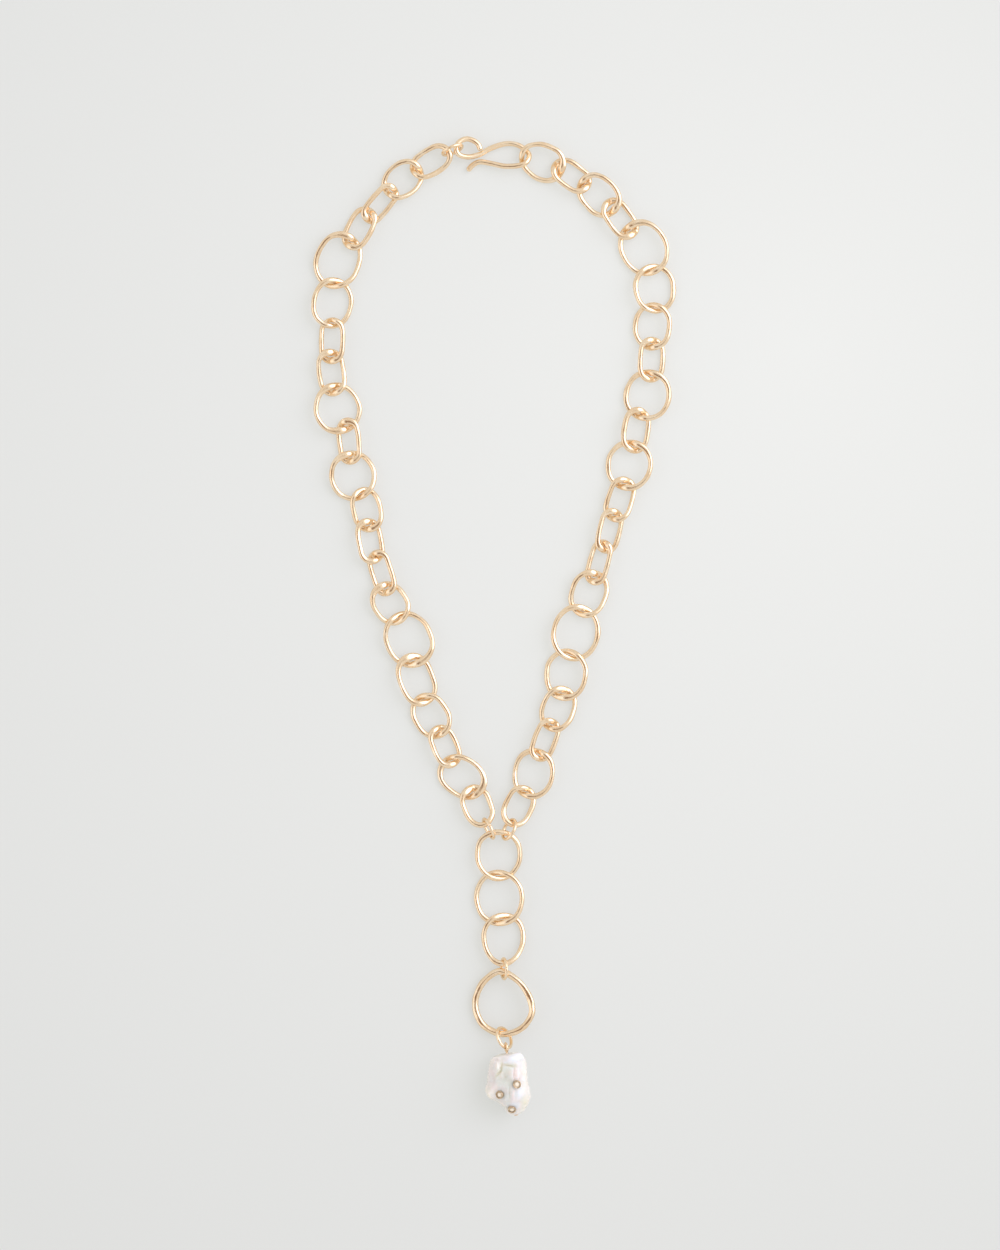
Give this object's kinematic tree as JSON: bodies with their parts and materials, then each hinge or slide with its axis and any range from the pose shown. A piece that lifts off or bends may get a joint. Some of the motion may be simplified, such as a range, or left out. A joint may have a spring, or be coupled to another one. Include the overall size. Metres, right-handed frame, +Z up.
{
  "type": "lariat necklace",
  "caption": "Lariat necklace of interlocked oval wire links with a hook clasp at the back and a front drop of wire rings that ends in a baroque pearl with small set stones.",
  "frame": {"origin": "centre of the laid-out necklace's bounding box, on the surface that it lies on", "axes": "+Y from the pearl to the hook clasp, +X to the wearer's left as seen from above, +Z up from the surface"},
  "size_m": [0.131, 0.3522, 0.0124],
  "materials": {
    "wire": "polished pale gold",
    "settings": "polished pale gold",
    "nacre": "lustrous nacre",
    "crystal": "faceted, clear"
  },
  "bodies": {
    "root": {"left_chain": "wire", "right_chain": "wire", "hook_clasp": "wire", "jump_ring_clasp": "wire", "jump_ring_left": "wire", "jump_ring_right": "wire", "drop_ring_1": "wire", "drop_ring_2": "wire", "drop_ring_3": "wire", "jump_ring_middle": "wire", "big_ring": "wire", "jump_ring_pearl": "wire", "head_pin": "wire", "pearl": "nacre", "setting_1": "settings", "setting_2": "settings", "setting_3": "settings", "stone_1": "crystal", "stone_2": "crystal", "stone_3": "crystal"}
  },
  "joints": []
}
